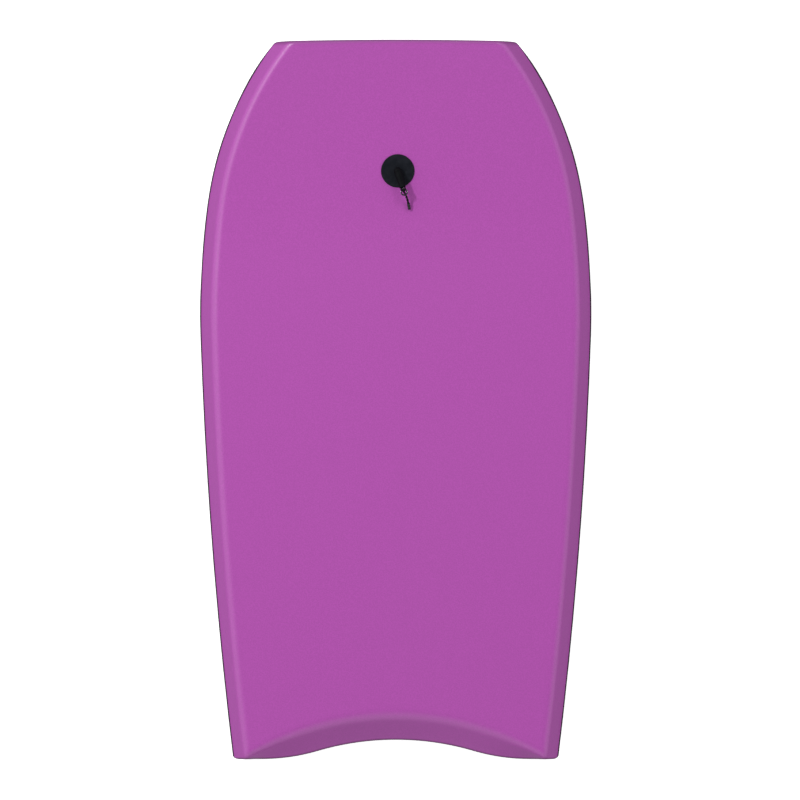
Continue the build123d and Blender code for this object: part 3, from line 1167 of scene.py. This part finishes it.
@dataclass
class LeashString:
    """The short two-strand string, its knot on the eye and its end sleeve."""

    origin: Point                # where the plug's axis meets the deck
    lean: float                  # degrees by which that axis leans back from upright
    eye_centre: Point
    arm: Point                   # the way the horn's arm points
    ring_normal: Point
    diameter: float = 0.003
    strand: float = 0.00098      # radius of each strand
    string: float = 0.00158      # radius of both strands together
    lay: float = 0.0088          # one full turn of the twist
    tip_gap: float = 0.0005      # how far the strands stop short inside the sleeve
    strand_rings: int = 110
    knot_rings: int = 120
    loop_rings: int = 40
    sleeve_sides: int = 40
    eye_radius: float = 0.0039
    loop_radius: float = 0.00187
    loop_turn: float = 30.0      # degrees from the shank to each loop on the eye's wire
    knot_size: float = 0.00056
    sleeve_length: float = 0.009
    route: tuple[Point, ...] = (
        (0.0065, -0.0237, 0.0158),
        (0.0101, -0.0298, 0.0117),
        (0.0124, -0.0363, 0.0080),
        (0.0140, -0.0432, 0.0051),
        (0.0153, -0.0503, 0.0034),
    )
    sleeve_profile: tuple[tuple[float, float], ...] = (      # distance from its start, radius
        (0.0006, 0.00145),
        (0.0000, 0.00160),
        (0.0000, 0.00178),
        (0.00025, 0.00193),
        (0.0008, 0.00200),
        (0.0022, 0.00200),
        (0.0025, 0.00186),
        (0.0029, 0.00183),
        (0.0033, 0.00186),
        (0.0036, 0.00199),
        (0.0054, 0.00199),
        (0.0057, 0.00186),
        (0.0061, 0.00183),
        (0.0065, 0.00186),
        (0.0068, 0.00199),
        (0.0082, 0.00198),
        (0.0086, 0.00188),
        (0.0089, 0.00166),
        (0.0090, 0.00135),
        (0.0090, 0.00080),
        (0.0086, 0.00070),
    )

    def frame(self) -> Matrix:
        """The plug's own frame."""
        return Matrix.Translation(self.origin) @ Matrix.Rotation(math.radians(self.lean), 4, "X")

    def centreline(self) -> list[Vector]:
        """The smooth line of the string.

        Returns:
            Points read from the route's spline.
        """
        curve = bpy.data.curves.new("string_route", "CURVE")
        curve.dimensions = "3D"
        spline = curve.splines.new("NURBS")
        spline.points.add(len(self.route) - 1)
        for target, point in zip(spline.points, self.route):
            target.co = (*(self.frame() @ Vector(point)), 1.0)
        spline.order_u = 3
        spline.use_endpoint_u = True
        spline.resolution_u = 16
        carrier = bpy.data.objects.new("string_route", curve)
        mesh = bpy.data.meshes.new_from_object(carrier)
        line = [v.co.copy() for v in mesh.vertices]
        bpy.data.objects.remove(carrier)
        bpy.data.meshes.remove(mesh)
        return line

    def _strands(self, line: Line, material: bpy.types.Material) -> bpy.types.Object:
        """The two strands, wound round the line.

        Args:
            line: The string's line.
            material: The yarn.

        Returns:
            The piece.
        """
        yarn = Yarn("leash_string_strands", self.strand)
        stop = line.length - self.tip_gap
        for start in (0.0, math.pi):
            path = []
            for i in range(self.strand_rings + 1):
                distance = stop * i / self.strand_rings
                point, side, other = line.at(distance)
                a = start + 2 * math.pi * distance / self.lay
                out = side * math.cos(a) + other * math.sin(a)
                path.append(point + out * (self.string - self.strand))
            yarn.strand(frames_along(path))
        return yarn.build(material)

    def _knot(self, line: Line, material: bpy.types.Material) -> bpy.types.Object:
        """The tight knot and the two loops that hold the eye's wire.

        Args:
            line: The string's line.
            material: The yarn.

        Returns:
            The piece.
        """
        yarn = Yarn("leash_string_knot", self.strand)
        centre, side, other = line.at(0.0)
        ahead = side.cross(other)
        path = []
        for i in range(self.knot_rings):
            t = 2 * math.pi * i / self.knot_rings
            across = side * (math.sin(t) + 2 * math.sin(2 * t))
            along = ahead * (math.cos(t) - 2 * math.cos(2 * t))
            path.append(centre + (across + along - other * (1.3 * math.sin(3 * t))) * self.knot_size)
        yarn.strand(closed_frames(path), closed=True)
        arm, normal = Vector(self.arm), Vector(self.ring_normal)
        across = normal.cross(arm)
        for way in (-1, 1):
            a = way * math.radians(self.loop_turn)
            radial = across * math.sin(a) - arm * math.cos(a)
            middle = Vector(self.eye_centre) + radial * self.eye_radius
            loop = []
            for i in range(self.loop_rings):
                t = 2 * math.pi * i / self.loop_rings
                loop.append(middle + (radial * math.cos(t) + normal * math.sin(t)) * self.loop_radius)
            yarn.strand(closed_frames(loop), closed=True)
        return yarn.build(material)

    def _sleeve(self, line: Line, material: bpy.types.Material) -> bpy.types.Object:
        """The moulded sleeve on the string's end, with two crimped bands.

        Args:
            line: The string's line.
            material: Its plastic.

        Returns:
            The piece.
        """
        start = line.length - self.sleeve_length
        rings = [(*line.at(start + distance), radius) for distance, radius in self.sleeve_profile]
        points, faces = tube(rings, self.sleeve_sides)
        return mesh_object("string_sleeve", points, faces, material)

    def build(self) -> None:
        """Makes the string and says how it is held."""
        points = self.centreline()
        line = Line(points)
        yarn = STRING.build()
        strands = self._strands(line, yarn)
        knot = self._knot(line, yarn)
        sleeve = self._sleeve(line, SLEEVE.build())
        for piece, node, slot in (
            (strands, "leash_string", "string_fibre"),
            (knot, "string_hitch", "string_fibre"),
            (sleeve, "string_end", "sleeve_plastic"),
        ):
            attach(piece, "eye")
            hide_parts(node)
            LOG.info("%s stands for %s", piece.name, node)


# --------------------------------------------------------------------------------- board and plug
@dataclass
class Board:
    """The foam board: skin, core, rails, end strips and slick sheet."""

    parts: dict[str, bpy.types.Object]
    plug: Matrix
    seat_radius: float = 0.0219
    seat_depth: float = 0.0008
    bore_radius: float = 0.0191
    cut_below: float = 0.02      # how far the cutter reaches under and over the deck
    cut_above: float = 0.01
    cut_sides: int = 128
    sharp: float = 40.0          # degrees from which an edge of the seat is sharp

    def _cut_seat(self, skin: bpy.types.Object) -> None:
        """Opens the skin for the leash plug.

        Args:
            skin: The foam skin.
        """
        profile = [
            (self.bore_radius, -self.cut_below),
            (self.bore_radius, -self.seat_depth),
            (self.seat_radius, -self.seat_depth),
            (self.seat_radius, self.cut_above),
        ]
        cutter = lathe("seat_cutter", self.plug, profile, self.cut_sides)
        modifier = skin.modifiers.new("seat", "BOOLEAN")
        modifier.operation = "DIFFERENCE"
        modifier.solver = "EXACT"
        modifier.object = cutter
        bpy.context.view_layer.update()
        graph = bpy.context.evaluated_depsgraph_get()
        cut = bpy.data.meshes.new_from_object(skin.evaluated_get(graph))
        cut.set_sharp_from_angle(angle=math.radians(self.sharp))
        skin.modifiers.clear()
        skin.data = cut
        bpy.data.objects.remove(cutter)

    def build(self) -> None:
        """Makes the foam skin and dresses the other board parts."""
        skin = DeckSkin(BoardShape()).build(DECK.build())
        self._cut_seat(skin)
        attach(skin, "board")
        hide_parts("deck_skin")
        LOG.info("deck_foam has %d faces", len(skin.data.polygons))
        rail = RAIL.build()
        finishes = {
            "nose_strip": NOSE.build(),
            "tail_strip": TAIL.build(),
            "left_rail": rail,
            "right_rail": rail,
            "core": CORE.build(),
            "bottom_slick": SLICK.build(),
        }
        dress(self.parts, finishes)


@dataclass
class LeashPlug:
    """The two halves of the plug, the pin, the horn and its eye."""

    parts: dict[str, bpy.types.Object]

    def build(self) -> None:
        """Dresses the hardware."""
        plug, steel = PLUG.build(), STEEL.build()
        finishes = {
            "plug_flange": plug,
            "plug_screw": plug,
            "horn": HORN.build(),
            "swivel_pin": steel,
            "eye_ring": steel,
        }
        dress(self.parts, finishes)


def dress(parts: dict[str, bpy.types.Object], finishes: dict[str, bpy.types.Material]) -> None:
    """Gives CAD parts their finishes.

    Args:
        parts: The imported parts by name.
        finishes: The finish of each.
    """
    for name, finish in finishes.items():
        for slot in parts[name].material_slots:
            slot.material = finish
        LOG.info("%s is finished in %s", name, finish.name)


# --------------------------------------------------------------------------------- studio
@dataclass(frozen=True)
class Lamp:
    """A square soft light."""

    name: str
    place: Point
    power: float
    size: float

    def build(self, target: Point = (0.0, 0.0, 0.05)) -> None:
        """Adds the light.

        Args:
            target: The point it faces.
        """
        data = bpy.data.lights.new(self.name, "AREA")
        data.energy = self.power
        data.size = self.size
        lamp = bpy.data.objects.new(self.name, data)
        lamp.location = self.place
        lamp.rotation_euler = (Vector(target) - lamp.location).to_track_quat("-Z", "Y").to_euler()
        bpy.context.scene.collection.objects.link(lamp)


@dataclass
class Studio:
    """The camera, the pale floor and the soft lights."""

    camera_place: Point = (0.0056, -0.0003, 24.0)
    sensor: float = 36.0         # the camera's film, in millimetres
    seen: float = 1.0466         # width in view at the outline's height
    outline_height: float = 0.023
    floor_size: float = 30.0
    floor_steps: int = 12
    floor_gap: float = 0.0004    # how far the floor lies under the board
    floor_fall: float = 0.02     # how far it falls away towards its edge
    walls: float = 0.90          # light from the sides
    ceiling: float = 0.08        # light from straight above
    below: float = 0.24          # light from under the horizon
    lamps: tuple[Lamp, ...] = (
        Lamp("key", place=(-2.75, 1.95, 3.70), power=108.0, size=0.6),
        Lamp("fill", place=(2.03, 2.90, 3.54), power=29.0, size=0.6),
    )

    def camera(self) -> None:
        """Sets up the camera straight above the deck."""
        data = bpy.data.cameras.new("camera")
        data.sensor_width = self.sensor
        data.lens = self.sensor * (self.camera_place[2] - self.outline_height) / self.seen
        camera = bpy.data.objects.new("camera", data)
        camera.location = self.camera_place
        bpy.context.scene.collection.objects.link(camera)
        bpy.context.scene.camera = camera

    def _floor(self) -> None:
        """Lays the floor, which falls away a little in its outer half."""
        half = self.floor_size / 2
        steps = self.floor_steps
        points = []
        for i in range(steps + 1):
            for j in range(steps + 1):
                x, y = half * (2 * i / steps - 1), half * (2 * j / steps - 1)
                fall = self.floor_fall * max(0.0, math.hypot(x, y) / half - 0.5)
                points.append((x, y, -self.floor_gap - fall))
        faces = []
        for i in range(steps):
            for j in range(steps):
                a = i * (steps + 1) + j
                faces.append((a, a + steps + 1, a + steps + 2, a + 1))
        graph = Graph("floor_paper")
        fine = graph.noise(graph.place(), 900.0, detail=2.0)
        paper = graph.finish(
            Base_Color=graph.mix(fine, (0.88, 0.88, 0.88), (0.92, 0.92, 0.92)),
            Roughness=0.9,
            Normal=graph.bump(fine, 0.00005),
            Emission_Color=(1.0, 1.0, 1.0),
            Emission_Strength=0.75,
        )
        floor = mesh_object("floor", points, faces, paper)
        floor.visible_diffuse = False
        floor.visible_glossy = False

    def room(self) -> None:
        """Sets up the floor, the sky and the lights."""
        self._floor()
        world = bpy.data.worlds.new("studio")
        world.use_nodes = True
        Sky(world).fill(self.walls, self.ceiling, self.below)
        bpy.context.scene.world = world
        for lamp in self.lamps:
            lamp.build()
        settings = bpy.context.scene.view_settings
        settings.view_transform = "Standard"
        settings.look = "None"
        LOG.info("the studio has %d lamps", len(self.lamps))


PLUG_PLACE = (0.0027, 0.299, 0.061497)           # where the plug's axis meets the deck
PLUG_AXIS = (0.092195, 0.995741)                 # how far that axis goes back and up
EYE_CENTRE = (0.011054, 0.271017, 0.072787)
HORN_ARM = (0.285129, -0.937729, 0.198406)       # the way the horn's arm points
EYE_NORMAL = (-0.084459, 0.181613, 0.979736)


def main() -> None:
    """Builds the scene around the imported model."""
    logging.basicConfig(level=logging.INFO, format="%(name)s: %(message)s")
    for leftover in list(bpy.data.objects):
        bpy.data.objects.remove(leftover)
    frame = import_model()
    studio = Studio()
    studio.camera()
    string = LeashString(
        origin=PLUG_PLACE,
        lean=math.degrees(math.atan2(*PLUG_AXIS)),
        eye_centre=EYE_CENTRE,
        arm=HORN_ARM,
        ring_normal=EYE_NORMAL,
    )
    string.build()
    Board(frame["nodes"], string.frame()).build()
    LeashPlug(frame["nodes"]).build()
    studio.room()


if __name__ == "__main__":
    main()
